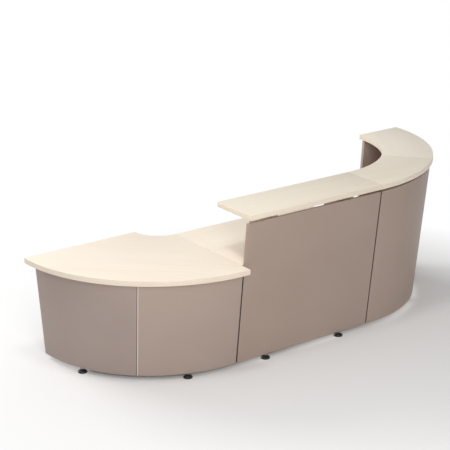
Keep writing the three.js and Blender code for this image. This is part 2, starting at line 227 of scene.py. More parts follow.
pad = start("cylinder", "pad_model", vertices=48, radius=PAD_RADIUS, depth=PAD_RIM,
            location=(0, 0, PAD_RIM / 2))
shape_up(pad)
choose("FACE", lambda middle, normal: normal.z > SQUARE_ON)
ring_radius, ring_height = PAD_RADIUS, PAD_RIM
for radius, height in PAD_DOME:
    bpy.ops.mesh.extrude_region_move(TRANSFORM_OT_translate={"value": (0, 0, height - ring_height)})
    narrowing = radius / ring_radius
    bpy.ops.transform.resize(value=(narrowing, narrowing, 1), center_override=(0, 0, height))
    ring_radius, ring_height = radius, height
bpy.ops.mesh.inset(thickness=ring_radius - COLLAR_RADIUS)
bpy.ops.mesh.extrude_region_move(TRANSFORM_OT_translate={"value": (0, 0, NUT_BOTTOM - ring_height)})
done()
soften(pad, PAD_EDGE_RADIUS, segments=3, limit=50)
pad.data.materials.append(pad_black)

nut = start("cylinder", "nut_model", vertices=6, radius=NUT_RADIUS, depth=NUT_TOP - NUT_BOTTOM,
            location=(0, 0, (NUT_BOTTOM + NUT_TOP) / 2))
shape_up(nut)
choose("FACE", lambda middle, normal: abs(normal.z) > SQUARE_ON)
bpy.ops.mesh.inset(thickness=NUT_CHAMFER, use_individual=True)
choose("VERT", lambda spot, normal: Vector((spot.x, spot.y, 0)).length > NUT_RADIUS - NUT_CHAMFER / 2)
bpy.ops.transform.resize(value=(1, 1, NUT_CORNER_HEIGHT), center_override=(0, 0, (NUT_BOTTOM + NUT_TOP) / 2))
done()
soften(nut, NUT_EDGE_RADIUS)
nut.data.materials.append(zinc)

stem = start("circle", "stem_model", vertices=3, radius=THREAD_CREST)
profile = ((THREAD_ROOT, 0.0), (THREAD_CREST, THREAD_PITCH / 2), (THREAD_ROOT, THREAD_PITCH))
for corner, (radius, rise) in zip(stem.data.vertices, profile):
    corner.co = (radius, 0, NUT_TOP + rise)
shape_up(stem)
choose("EDGE", lambda middle, along: abs(middle.x - THREAD_ROOT) < 1e-6)
bpy.ops.mesh.delete(type="EDGE")
done()
thread = stem.modifiers.new("thread", "SCREW")
thread.steps = thread.render_steps = 20
thread.iterations = THREAD_TURNS
thread.screw_offset = THREAD_PITCH
thread.use_merge_vertices = True
use_modifier(stem, thread)
shape_up(stem)
bpy.ops.mesh.select_all(action="SELECT")
bpy.ops.mesh.remove_doubles(threshold=1e-6)
bpy.ops.mesh.fill_holes(sides=0)
bpy.ops.mesh.select_all(action="SELECT")
bpy.ops.mesh.normals_make_consistent(inside=False)
done()
bpy.ops.object.shade_smooth_by_angle(angle=radians(40))
stem.data.materials.append(zinc)

FOOT_PARTS = ((pad, "pad", "black_plastic"), (nut, "nut", "foot_steel"), (stem, "stem", "foot_steel"))
for post, heading in FOOT_HEADINGS.items():
    for end in ("front", "back"):
        node = f"levelling_foot_{post}_{end}"
        low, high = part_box(node)
        spot = Vector(((low.x + high.x) / 2, (low.y + high.y) / 2, 0))
        for model, part, slot in FOOT_PARTS:
            piece = copy_to(model, f"foot_{part}_{post}_{end}", spot, heading)
            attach(piece, node)
            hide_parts(node)
put_away(pad, nut, stem)


# Foot blocks: black moulded blocks with a bore for the stem. Each stands in a notch in the bottom
# edge of a gable and is held by screws through its pocketed sides.
BLOCK_SIZE = Vector((0.040, 0.024, 0.060))
BLOCK_BOTTOM = 0.030
BLOCK_BORE = 0.0043
POCKET_RIM = 0.0035
POCKET_DEPTH = 0.003
BLOCK_EDGE_RADIUS = 0.0008


def cut_away(piece, cutter):
    """Cuts a piece with another and throws the cutter away."""
    cut = piece.modifiers.new("cut", "BOOLEAN")
    cut.operation = "DIFFERENCE"
    cut.object = cutter
    cut.solver = "EXACT"
    use_modifier(piece, cut)
    put_away(cutter)


block_black = coat("block_black", colour(24, 24, 25), colour(33, 33, 34), (0.42, 0.58), 40, 700, 0.18)
block = start("cube", "block_model", BLOCK_SIZE, size=1, location=(0, 0, BLOCK_BOTTOM + BLOCK_SIZE.z / 2))
shape_up(block)
choose("FACE", lambda middle, normal: abs(normal.x) > SQUARE_ON)
bpy.ops.mesh.inset(thickness=POCKET_RIM, depth=0, use_individual=True)
bpy.ops.mesh.extrude_faces_move(TRANSFORM_OT_shrink_fatten={"value": -POCKET_DEPTH})
done()
cut_away(block, start("cylinder", "bore", vertices=32, radius=BLOCK_BORE, depth=0.2, location=(0, 0, 0.06)))
soften(block, BLOCK_EDGE_RADIUS)
block.data.materials.append(block_black)
for post, heading in FOOT_HEADINGS.items():
    for end in ("front", "back") if post.startswith("tall") else ("back",):
        node = f"foot_block_{post}_{end}"
        low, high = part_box(node)
        spot = Vector(((low.x + high.x) / 2, (low.y + high.y) / 2, 0))
        piece = copy_to(block, f"corner_block_{post}_{end}", spot, heading)
        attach(piece, "desk")
        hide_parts(node)
put_away(block)


# Gables: upright boards of 25 mm melamine-faced chipboard in the panels' taupe, banded on their
# edges. They stand behind the front panels on the foot blocks and carry the tops.
MODULE_Y = 0.529
LEFT_MODULE_X = -0.553
RIGHT_MODULE_X = 0.567
FIT = 0.0003
BOARD = 0.025
PANEL = 0.018
PANEL_BOTTOM = 0.030
PANEL_LEAN = radians(7.35)
PANEL_TOP_RADIUS = 1.026
LOW_FRONT = {"top": 0.7037, "spread": 0.042}
FLAT_FRONT = {"top": 1.036, "spread": 0.0}
TALL_FRONT = {"top": 1.036, "spread": 0.050}
BOARD_REACH = 0.027
BEND = 0.02455
WORKTOP_UNDERSIDE = 0.704
SHELF_UNDERSIDE = 1.058
TALL_GABLE_DEPTH = 0.300
TALL_FRONT_BLOCK = 0.130
BACK_BLOCK = 0.042
END_GABLE_OFFSET = 0.0145
BOARD_EDGE_RADIUS = 0.0010
EDGE_LEAN = 0.5


def outer(height):
    """Radius of the leaning front face at a height."""
    return PANEL_TOP_RADIUS - (FLAT_FRONT["top"] - height) * tan(PANEL_LEAN)


def inner(height):
    return outer(height) - PANEL / cos(PANEL_LEAN)


def push(front, height):
    """How far a bent panel is pushed out to its side at a height."""
    return front["spread"] * (front["top"] - height) / (front["top"] - PANEL_BOTTOM)


def board_front(front, height, heading=0.0):
    """Radius at which a board behind a panel stands clear of it."""
    across = push(front, height) * cos(radians(heading))
    along = push(front, height) * abs(sin(radians(heading)))
    skew = BOARD_REACH * across / inner(height)
    return along + sqrt(inner(height) ** 2 - across ** 2) - FIT - BOARD_REACH * BEND - skew


def settle(piece, x, heading):
    """Turns a piece made facing the front to its heading on a module's centre, and fixes it."""
    bpy.ops.object.select_all(action="DESELECT")
    piece.select_set(True)
    bpy.context.view_layer.objects.active = piece
    piece.rotation_euler.z = radians(heading)
    piece.location = (x, MODULE_Y, 0)
    bpy.ops.object.transform_apply(location=True, rotation=True, scale=True)


def add_box(name, low, high):
    low, high = Vector(low), Vector(high)
    return start("cube", name, high - low, size=1, location=(low + high) / 2)


def push_edge(test, y):
    """Moves the corners that pass a test to a given distance in front of the centre."""
    choose("VERT", test)
    shell = bmesh.from_edit_mesh(bpy.context.object.data)
    now = next(v.co.y for v in shell.verts if v.select)
    bpy.ops.transform.translate(value=(0, y - now, 0))


def lean_board(name, half_width, x, bottom, top, front_edge, back_edge):
    """An upright board whose front and back edges follow two radii that change with height."""
    piece = add_box(name, (x - half_width, -front_edge(top), bottom), (x + half_width, -back_edge(top), top))
    middle_z = (bottom + top) / 2
    middle_y = -(front_edge(top) + back_edge(top)) / 2
    shape_up(piece)
    push_edge(lambda spot, normal: spot.z < middle_z and spot.y > middle_y, -back_edge(bottom))
    push_edge(lambda spot, normal: spot.z < middle_z and spot.y < middle_y, -front_edge(bottom))
    done()
    return piece


def notch(piece, radius, x):
    """Cuts the notch for a foot block into a board's bottom edge."""
    half = BLOCK_SIZE.y / 2 + FIT
    top = BLOCK_BOTTOM + BLOCK_SIZE.z + FIT
    cut_away(piece, add_box("notch", (x - BOARD, -radius - half, 0), (x + BOARD, -radius + half, top)))


def band(piece, edge_material, is_edge):
    """Gives the narrow faces that pass a test a second material: a board's edge band, or the painted shade on
    panel ends at the seams.
    """
    piece.data.materials.append(edge_material)
    for face in piece.data.polygons:
        if is_edge(face):
            face.material_index = len(piece.data.materials) - 1


LAMINATE = ((0.36, 0.46), 1.3, 620, 0.05, 0.0, 0.15)
EDGE_BAND = ((0.30, 0.40), 3.0, 800, 0.05)
taupe = coat("taupe_laminate", colour(160, 142, 131), colour(166, 148, 137), *LAMINATE)
taupe_edge = coat("taupe_edge_band", colour(166, 148, 137), colour(172, 154, 143), *EDGE_BAND)

GABLES = (
    ("low_inner", LEFT_MODULE_X, -22.5, LOW_FRONT, 0.330),
    ("low_end", LEFT_MODULE_X, -67.5, LOW_FRONT, 0.330),
    ("straight_left", -0.309, 0.0, FLAT_FRONT, 0.270),
    ("straight_right", 0.323, 0.0, FLAT_FRONT, 0.270),
)
for post, module_x, heading, front, back_radius in GABLES:
    name = f"gable_board_{post}"
    top = WORKTOP_UNDERSIDE - FIT
    piece = lean_board(name, BOARD / 2, 0, PANEL_BOTTOM, top,
                       lambda z: board_front(front, z, heading), lambda z: back_radius)
    notch(piece, back_radius + BACK_BLOCK, 0)
    soften(piece, BOARD_EDGE_RADIUS)
    piece.data.materials.append(taupe)
    band(piece, taupe_edge, lambda face: abs(face.normal.x) < EDGE_LEAN)
    settle(piece, module_x, heading)
    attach(piece, "desk")
    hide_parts(f"gable_{post}")

TALL_GABLES = (("tall_middle", 41.0, 0.0), ("tall_end", 90.0, -END_GABLE_OFFSET))
for post, heading, offset in TALL_GABLES:
    top = SHELF_UNDERSIDE - FIT
    front_at_floor = board_front(TALL_FRONT, PANEL_BOTTOM, heading)
    piece = lean_board(f"gable_board_{post}", BOARD / 2, offset, PANEL_BOTTOM, top,
                       lambda z: board_front(TALL_FRONT, z, heading),
                       lambda z: board_front(TALL_FRONT, z, heading) - TALL_GABLE_DEPTH)
    notch(piece, front_at_floor - TALL_FRONT_BLOCK, offset)
    notch(piece, front_at_floor - TALL_GABLE_DEPTH + BACK_BLOCK, offset)
    soften(piece, BOARD_EDGE_RADIUS)
    piece.data.materials.append(taupe)
    band(piece, taupe_edge, lambda face: abs(face.normal.x) < EDGE_LEAN)
    settle(piece, RIGHT_MODULE_X, heading)
    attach(piece, "desk")
    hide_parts(f"gable_{post}")


# Stretcher: an 18 mm board on edge between the two straight gables. It keeps the frame square,
# and the tops and panels take their line from it.
low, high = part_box("stretcher_board")
stretcher = add_box("stretcher", low, high)
soften(stretcher, BOARD_EDGE_RADIUS)
stretcher.data.materials.append(taupe)
band(stretcher, taupe_edge, lambda face: abs(face.normal.y) < EDGE_LEAN)
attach(stretcher, "desk")
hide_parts("stretcher_board")


# Front panels: 18 mm taupe laminate panels that lean out towards their tops. The straight one is
# flat, the others are pressed to a quarter cone; shadow gaps separate the modules.
MODULE_SEAM = 0.008
PANEL_SEAM = 0.002
PANEL_END = 0.001
PANEL_EDGE_RADIUS = 0.0020
STRAIGHT_LENGTH = 1.120
OVERRUN = 6.0
DEGREES_PER_STEP = 0.75


def sweep(name, section, from_heading, to_heading):
    """Sweeps an upright section (bottom, top, back and front radius at both) round a centre, a little
    past both headings, and leaves it open for editing."""
    bottom, top, back_low, front_low, back_high, front_high = section
    middle = (bottom + top) / 2
    piece = start("plane", name, (top - bottom, 1, 1), size=1, rotation=(0, pi / 2, 0),
                  location=(0, 0, middle))
    shape_up(piece)
    push_edge(lambda spot, normal: spot.z < middle and spot.y < 0, -front_low)
    push_edge(lambda spot, normal: spot.z < middle and spot.y > 0, -back_low)
    push_edge(lambda spot, normal: spot.z > middle and spot.y < 0, -front_high)
    push_edge(lambda spot, normal: spot.z > middle and spot.y > 0, -back_high)
    done()
    piece.rotation_euler.z = radians(from_heading - OVERRUN)
    bpy.ops.object.transform_apply(location=False, rotation=True, scale=False)
    turn = to_heading - from_heading + 2 * OVERRUN
    shape_up(piece)
    bpy.ops.mesh.select_all(action="SELECT")
    bpy.ops.mesh.spin(steps=round(turn / DEGREES_PER_STEP), angle=radians(turn),
                      center=(0, 0, 0), axis=(0, 0, -1))
    return piece


def trim(heading, setback, keeps):
    """Cuts the open piece off along the upright plane at a heading, set back from it."""
    across = Vector((cos(radians(heading)), sin(radians(heading)), 0))
    offset = setback if keeps == "after" else -setback
    bpy.ops.mesh.select_all(action="SELECT")
    bpy.ops.mesh.bisect(plane_co=across * offset, plane_no=across, use_fill=True,
                        clear_inner=keeps == "after", clear_outer=keeps == "before")


def close_up():
    bpy.ops.mesh.select_all(action="SELECT")
    bpy.ops.mesh.remove_doubles(threshold=1e-6)
    bpy.ops.mesh.normals_make_consistent(inside=False)
    done()


LOW_SEAM = -41.5
TALL_SEAM = 41.0
PAINTED_HIGHLIGHT_WIDTH = 0.0080
SEAM_SHADE = 0.0022
SEAM_FACING = 0.7
# Lighter and darker copies of the taupe laminate: the low end panel's greyer, darker tone is painted shade,
# the inner low panel's paler tone is painted light.
taupe_painted_shade = coat("taupe_laminate_painted_shade", colour(154, 139, 132), colour(161, 146, 139), *LAMINATE)
taupe_painted_light = coat("taupe_laminate_painted_light", colour(163, 146, 136), colour(169, 152, 142), *LAMINATE)
# A dark band for the panel ends at the seams and a strip beside the low seam: painted shade in the gaps.
seam_shade = coat("seam_painted_shade", colour(92, 80, 73), colour(100, 87, 80), (0.40, 0.50), 3.0, 800, 0.05)
# A pale strip for the inner low panel's seam end: a painted highlight where the edge catches the light.
taupe_painted_highlight = coat("taupe_painted_highlight", colour(204, 189, 179), colour(210, 195, 185), *EDGE_BAND)


def bore_for_stem(piece, foot):
    """Bores the hole for a foot's stem up into a panel's bottom edge."""
    low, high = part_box(f"levelling_foot_{foot}_front")
    spot = ((low.x + high.x) / 2, (low.y + high.y) / 2, PANEL_BOTTOM)
    depth = high.z - PANEL_BOTTOM + FIT
    drill = start("cylinder", "bore", vertices=32, radius=BLOCK_BORE, depth=2 * depth, location=spot)
    cut_away(piece, drill)


def paint_end_strip(heading, width):
    """Marks off a slim strip along one end of the open panel and gives it the second material, a painted
    highlight or painted shade.
    """
    across = Vector((cos(radians(heading)), sin(radians(heading)), 0))
    bpy.ops.mesh.select_all(action="SELECT")
    bpy.ops.mesh.bisect(plane_co=across * width, plane_no=across)
    choose("FACE", lambda middle, normal: abs(middle.dot(across)) < abs(width))
    bpy.context.object.active_material_index = 1
    bpy.ops.object.material_slot_assign()


# Each end of a panel: its heading, its setback from there, and whether it leans aside with the panel.
LEFT_END = (-90.0, PANEL_END, False)
LEFT_SEAM = (LOW_SEAM, PANEL_SEAM / 2, True)
MODULE_END = (0.0, MODULE_SEAM / 2, False)
RIGHT_SEAM = (TALL_SEAM, PANEL_SEAM / 2, False)
RIGHT_END = (90.0, PANEL_END, False)
# The low panels take the painted shade and painted light copies of the laminate, the others the plain one.
PANEL_PAINTED_LIGHT_AND_SHADE = {"low_panel_end": taupe_painted_shade, "low_panel_inner": taupe_painted_light}
BENT_PANELS = (
    ("low_panel_end", LEFT_MODULE_X, LOW_FRONT, LEFT_END, LEFT_SEAM, "low_end"),
    ("low_panel_inner", LEFT_MODULE_X, LOW_FRONT, LEFT_SEAM, MODULE_END, "low_inner"),
    ("tall_panel_inner", RIGHT_MODULE_X, TALL_FRONT, MODULE_END, RIGHT_SEAM, None),
    ("tall_panel_end", RIGHT_MODULE_X, TALL_FRONT, RIGHT_SEAM, RIGHT_END, None),
)
for node, module_x, front, first_end, last_end, foot in BENT_PANELS:
    top = front["top"]
    section = (PANEL_BOTTOM, top, inner(PANEL_BOTTOM), outer(PANEL_BOTTOM), inner(top), outer(top))
    piece = sweep(f"front_{node}", section, first_end[0], last_end[0])
    piece.data.materials.append(PANEL_PAINTED_LIGHT_AND_SHADE.get(node, taupe))
    ends = ((*first_end, "after"), (*last_end, "before"))
    for heading, setback, leans, keeps in ends:
        if leans:
            trim(heading, setback, keeps)
    # The inner low panel gets a painted highlight along its seam end, the end panel a strip of painted shade.
    if node == "low_panel_inner":
        piece.data.materials.append(taupe_painted_highlight)
        paint_end_strip(LOW_SEAM, PAINTED_HIGHLIGHT_WIDTH)
    if node == "low_panel_end":
        piece.data.materials.append(seam_shade)
        paint_end_strip(LOW_SEAM, -SEAM_SHADE)
    choose("VERT", lambda spot, normal: spot.z < PANEL_BOTTOM + FIT)
    bpy.ops.transform.translate(value=(front["spread"] * (1 if module_x > 0 else -1), 0, 0))
    for heading, setback, leans, keeps in ends:
        if not leans:
            trim(heading, setback, keeps)
    close_up()
    settle(piece, module_x, 0.0)
    if foot:
        bore_for_stem(piece, foot)
    soften(piece, PANEL_EDGE_RADIUS, 3)
    # The panel's ends at a module seam get painted shade.
    band(piece, seam_shade, lambda face: abs(face.normal.x) > SEAM_FACING
         and abs(face.center.x - module_x) < MODULE_SEAM)
    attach(piece, "desk")
    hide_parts(node)

flat_panel = lean_board("front_straight_panel", (STRAIGHT_LENGTH - MODULE_SEAM) / 2, STRAIGHT_LENGTH / 2,
                        PANEL_BOTTOM, FLAT_FRONT["top"], outer, inner)
settle(flat_panel, LEFT_MODULE_X, 0.0)
for foot in ("straight_left", "straight_right"):
    bore_for_stem(flat_panel, foot)
shape_up(flat_panel)
bpy.ops.mesh.select_all(action="SELECT")
bpy.ops.mesh.bisect(plane_co=(0, 0, LOW_FRONT["top"]), plane_no=(0, 0, 1))
done()
soften(flat_panel, PANEL_EDGE_RADIUS, 3)
flat_panel.data.materials.append(taupe)
flat_middle = LEFT_MODULE_X + STRAIGHT_LENGTH / 2
flat_reach = STRAIGHT_LENGTH / 2 - MODULE_SEAM
# The flat panel's ends at the seams, its left end only below the low worktop, get painted shade.
band(flat_panel, seam_shade, lambda face: abs(face.normal.x) > SEAM_FACING
     and abs(face.center.x - flat_middle) > flat_reach
     and (face.center.x > flat_middle or face.center.z < LOW_FRONT["top"]))
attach(flat_panel, "desk")
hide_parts("straight_panel")


# Seam strips: flat bars of dark powder-coated steel screwed on behind the panel seams. They hold
# neighbouring panels in line and close the shadow gap.
STRIP_WIDTH = 0.050
STRIP = 0.004
STRIP_MARGIN = 0.012
STEEL_EDGE_RADIUS = 0.0006
dark_steel = coat("dark_powder_coat", colour(28, 24, 22), colour(36, 31, 28), (0.48, 0.62), 14, 1100, 0.22)


def strip_front(front, height):
    return inner(height) - FIT - (STRIP_WIDTH / 2 + push(front, height)) * BEND


SEAM_STRIPS = (
    ("low", LEFT_MODULE_X, LOW_SEAM, LOW_FRONT["top"], FLAT_FRONT),
    ("left", LEFT_MODULE_X, 0.0, LOW_FRONT["top"], LOW_FRONT),
    ("right", RIGHT_MODULE_X, 0.0, TALL_FRONT["top"], TALL_FRONT),
)
for side, module_x, heading, panel_top, front in SEAM_STRIPS:
    bottom, top = PANEL_BOTTOM + STRIP_MARGIN, panel_top - STRIP_MARGIN
    piece = lean_board(f"steel_strip_{side}", STRIP_WIDTH / 2, 0, bottom, top,
                       lambda z: strip_front(front, z), lambda z: strip_front(front, z) - STRIP)
    if side == "low":
        shape_up(piece)
        for end in (bottom, top):
            choose("VERT", lambda spot, normal: abs(spot.z - end) < FIT)
            aside = Matrix.Rotation(radians(-heading), 3, "Z") @ Vector((-push(LOW_FRONT, end), 0, 0))
            bpy.ops.transform.translate(value=aside)
        done()
    soften(piece, STEEL_EDGE_RADIUS)
    piece.data.materials.append(dark_steel)
    settle(piece, module_x, heading)
    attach(piece, "desk")
    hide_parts(f"seam_strip_{side}")


# Worktops: 36 mm boards faced in pale maple laminate with a maple-pattern band of plastic on every
# edge. The quarter-round fan is cut out with a hollow inner edge; the straight one butts against it.
WORKTOP_TOP = 0.740
FAN_OUTER = 1.058
FAN_INNER = 0.204
TOP_EDGE_RADIUS = 0.0022
TOP_EDGE_LEAN = 0.8

# Flame is the broad figure of the wood, Fibre its fine streaks and Pore the short dark dashes, all
# drawn out along the first axis of the vector.
wood, group_in, group_out = add_group(
    "maple_figure", [("Vector", "NodeSocketVector")], ["Flame", "Fibre", "Pore"],
)
FIGURE = (
    ("Flame", (0.9, 7.0, 7.0), 3.0, 0.6),
    ("Fibre", (3.0, 130.0, 130.0), 4.0, 0.0),
    ("Pore", (16.0, 420.0, 420.0), 1.0, 0.0),
)
for label, stretch, detail, twist in FIGURE:
    draw_out = wood.nodes.new("ShaderNodeMapping")
    draw_out.inputs["Scale"].default_value = stretch
    noise = wood.nodes.new("ShaderNodeTexNoise")
    noise.inputs["Scale"].default_value = 1.0
    noise.inputs["Detail"].default_value = detail
    noise.inputs["Distortion"].default_value = twist
    wood.links.new(group_in.outputs["Vector"], draw_out.inputs["Vector"])
    wood.links.new(draw_out.outputs["Vector"], noise.inputs["Vector"])
    wood.links.new(noise.outputs["Fac"], group_out.inputs[label])


def blend_colours(nodes, links, first, second, low, high, strength, mask):
    """Mixes a second colour over a first by a mask, and hands on the result."""
    tone = nodes.new("ShaderNodeMix")
    tone.data_type = "RGBA"
    if isinstance(first, tuple):
        tone.inputs["A"].default_value = first
    else:
        links.new(first, tone.inputs["A"])
    tone.inputs["B"].default_value = second
    spread(nodes, links, mask, low, high, 0.0, strength, tone.inputs["Factor"])
    return tone.outputs["Result"]


def maple(name, ground, flame, fibre, pore, turn, rough):
    """Maple laminate with its grain turned to a heading."""
    material, nodes, links, shader = add_material(name)
    place = nodes.new("ShaderNodeTexCoord")
    turned = nodes.new("ShaderNodeMapping")
    turned.inputs["Rotation"].default_value = (0, 0, radians(-turn))
    links.new(place.outputs["Object"], turned.inputs["Vector"])
    figure = nodes.new("ShaderNodeGroup")
    figure.node_tree = wood
    links.new(turned.outputs["Vector"], figure.inputs["Vector"])
    tone = blend_colours(nodes, links, ground, flame, 0.38, 0.66, 0.8, figure.outputs["Flame"])
    tone = blend_colours(nodes, links, tone, fibre, 0.45, 0.75, 0.5, figure.outputs["Fibre"])
    tone = blend_colours(nodes, links, tone, pore, 0.64, 0.72, 0.35, figure.outputs["Pore"])
    links.new(tone, shader.inputs["Base Color"])
    spread(nodes, links, figure.outputs["Fibre"], 0.3, 0.7, rough[0], rough[1], shader.inputs["Roughness"])
    relief = nodes.new("ShaderNodeBump")
    relief.inputs["Strength"].default_value = 0.06
    relief.inputs["Distance"].default_value = 0.0003
    links.new(figure.outputs["Fibre"], relief.inputs["Height"])
    links.new(relief.outputs["Normal"], shader.inputs["Normal"])
    return material


MAPLE_TONES = (colour(247, 236, 219), colour(244, 230, 211), colour(238, 223, 203), colour(226, 208, 186))
maple_along = maple("maple_laminate", *MAPLE_TONES, 0.0, (0.36, 0.48))
maple_fan = maple("maple_laminate_fan", *MAPLE_TONES, -45.0, (0.36, 0.48))
EDGE_TONES = (colour(227, 213, 195), colour(223, 208, 189), colour(217, 201, 181), colour(205, 187, 165))
maple_edge = maple("maple_edge_band", *EDGE_TONES, 0.0, (0.34, 0.44))


def finish_top(piece, node, face_material, edge_material):
    soften(piece, TOP_EDGE_RADIUS, 3)
    piece.data.materials.append(face_material)
    band(piece, edge_material, lambda face: abs(face.normal.z) < TOP_EDGE_LEAN)
    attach(piece, "desk")
    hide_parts(node)


fan_section = (WORKTOP_UNDERSIDE, WORKTOP_TOP, FAN_INNER, FAN_OUTER, FAN_INNER, FAN_OUTER)
fan = sweep("top_fan_worktop", fan_section, -90.0, 0.0)
trim(-90.0, 0.0, "after")
trim(0.0, 0.0, "before")
close_up()
settle(fan, LEFT_MODULE_X, 0.0)
finish_top(fan, "fan_worktop", maple_fan, maple_edge)

low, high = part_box("straight_worktop")
finish_top(add_box("top_straight_worktop", low, high), "straight_worktop", maple_along, maple_edge)


# Risers: two 25 mm taupe boards that stand on the straight worktop, lean with the panel and carry
# the straight counter shelf 22 mm clear of the panel's top edge.
RISER_DEPTH = 0.264
for side in ("left", "right"):
    low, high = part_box(f"riser_straight_{side}")
    x = (low.x + high.x) / 2
    piece = lean_board(f"riser_board_{side}", BOARD / 2, 0, low.z, high.z,
                       lambda z: board_front(FLAT_FRONT, z),
                       lambda z: board_front(FLAT_FRONT, z) - RISER_DEPTH)
    soften(piece, BOARD_EDGE_RADIUS)
    piece.data.materials.append(taupe)
    band(piece, taupe_edge, lambda face: abs(face.normal.x) < EDGE_LEAN)
    settle(piece, x, 0.0)
    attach(piece, "desk")
    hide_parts(f"riser_straight_{side}")


# Counter shelves: 34 mm maple-faced boards with banded edges, one straight and two bent to the
# tall module. They butt together with a hairline joint.
SHELF_TOP = 1.092
SHELF_OUTER = 1.044
SHELF_INNER = 0.679
SHELF_JOINT = 0.00015

# The straight and inner shelves take a darker copy of the maple, painted shade for light that falls off to
# the right; the end shelf takes a lighter copy, painted light.
SHELF_PAINTED_SHADE_TONES = (colour(239, 230, 213), colour(236, 224, 205), colour(231, 217, 197), colour(219, 202, 181))
TURNED_PAINTED_LIGHT_TONES = (colour(247, 238, 222), colour(244, 233, 215), colour(239, 226, 207), colour(228, 212, 192))
SHELF_EDGE_TONES = (
    colour(228, 214, 196), colour(224, 209, 190), colour(218, 202, 182), colour(206, 188, 166),
)
shelf_along = maple("maple_shelf", *SHELF_PAINTED_SHADE_TONES, 0.0, (0.36, 0.48))
shelf_turned = maple("maple_shelf_turned", *TURNED_PAINTED_LIGHT_TONES, 62.0, (0.36, 0.48))
shelf_edge = maple("maple_shelf_edge_band", *SHELF_EDGE_TONES, 0.0, (0.34, 0.44))

low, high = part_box("counter_shelf_straight")
finish_top(add_box("top_shelf_straight", low, high), "counter_shelf_straight", shelf_along, shelf_edge)
shelf_section = (SHELF_UNDERSIDE, SHELF_TOP, SHELF_INNER, SHELF_OUTER, SHELF_INNER, SHELF_OUTER)
for part, from_heading, from_setback, to_heading, to_setback, face_material in (
    ("curved_inner", 0.0, 0.0, TALL_SEAM, SHELF_JOINT, shelf_along),
    ("curved_end", TALL_SEAM, SHELF_JOINT, 90.0, 0.0, shelf_turned),
):
    piece = sweep(f"top_shelf_{part}", shelf_section, from_heading, to_heading)
    trim(from_heading, from_setback, "after")
    trim(to_heading, to_setback, "before")
    close_up()
    settle(piece, RIGHT_MODULE_X, 0.0)
    finish_top(piece, f"counter_shelf_{part}", face_material, shelf_edge)


# Joining plates: 4 mm plates of dark powder-coated steel, screwed up from below across the butt
# joints of the tops to hold them level.
for place in ("worktop_front", "worktop_back", "shelf"):
    low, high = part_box(f"joining_plate_{place}")
    piece = add_box(f"steel_plate_{place}", low, high)
    soften(piece, STEEL_EDGE_RADIUS)
    piece.data.materials.append(dark_steel)
    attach(piece, "desk")
    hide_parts(f"joining_plate_{place}")


# Fixings: pressed zinc-plated angle brackets in the corners between the upright boards and the tops,
# and pan-head screws with a cross recess through the brackets, the seam strips and the joining plates.
BRACKET_LEG = 0.040
BRACKET_WIDTH = 0.030
BRACKET = 0.0025
BRACKET_CORNER = 0.007
BRACKET_HOLE = 0.62
BRACKET_EDGE_RADIUS = 0.0004
HEAD_EDGE_RADIUS = 0.0002
HEAD_RADIUS = 0.0044
HEAD_HEIGHT = 0.0026
HEAD_CROWN = 0.60
RECESS_REACH = 0.0026
RECESS_HALF = 0.0006
RECESS_DEPTH = 0.0014
STRIP_ROWS = (0.08, 0.36, 0.64, 0.92)
STRIP_COLUMNS = (-0.015, 0.015)
PLATE_CORNERS = ((0.12, 0.2), (0.88, 0.2), (0.12, 0.8), (0.88, 0.8))

bracket = add_box("bracket_model", (BOARD / 2, -BRACKET_WIDTH / 2, -BRACKET_LEG),
                  (BOARD / 2 + BRACKET, BRACKET_WIDTH / 2, 0))
shape_up(bracket)
bpy.ops.mesh.select_all(action="SELECT")
bpy.ops.mesh.bisect(plane_co=(0, 0, -BRACKET), plane_no=(0, 0, 1))
choose("FACE", lambda middle, normal: normal.x > SQUARE_ON and middle.z > -BRACKET)
bpy.ops.mesh.extrude_region_move(TRANSFORM_OT_translate={"value": (BRACKET_LEG - BRACKET, 0, 0)})
leg_side = BRACKET_WIDTH / 2 - FIT
leg_end = BOARD / 2 + BRACKET_LEG - FIT
choose("EDGE", lambda middle, along: abs(middle.y) > leg_side
       and (middle.z < FIT - BRACKET_LEG or middle.x > leg_end))
bpy.ops.mesh.bevel(offset=BRACKET_CORNER, segments=5, affect="EDGES")
close_up()
soften(bracket, BRACKET_EDGE_RADIUS)
bracket.data.materials.append(zinc)

screw = start("cylinder", "screw_model", vertices=24, radius=HEAD_RADIUS, depth=HEAD_HEIGHT / 2,
              location=(0, 0, HEAD_HEIGHT / 4))
shape_up(screw)
choose("FACE", lambda middle, normal: normal.z > SQUARE_ON)
bpy.ops.mesh.extrude_region_move(TRANSFORM_OT_translate={"value": (0, 0, HEAD_HEIGHT / 2)})
bpy.ops.transform.resize(value=(HEAD_CROWN, HEAD_CROWN, 1), center_override=(0, 0, HEAD_HEIGHT))
done()
for reach_x, reach_y in ((RECESS_REACH, RECESS_HALF), (RECESS_HALF, RECESS_REACH)):
    recess_floor = HEAD_HEIGHT - RECESS_DEPTH
    cut_away(screw, add_box("recess", (-reach_x, -reach_y, recess_floor), (reach_x, reach_y, 1)))
soften(screw, HEAD_EDGE_RADIUS)
screw.data.materials.append(zinc)


def facing(spot, direction):
    """The place of a screw whose head looks in a direction."""
    return Matrix.Translation(spot) @ Vector(direction).to_track_quat("Z", "Y").to_matrix().to_4x4()


def module_place(x, heading):
    return Matrix.Translation((x, MODULE_Y, 0)) @ Matrix.Rotation(radians(heading), 4, "Z")


def fix(model, name, place):
    """Fixes a copy of a bracket or screw to the desk."""
    piece = copy_to(model, name, (0, 0, 0))
    piece.data.transform(place)
    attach(piece, "desk")


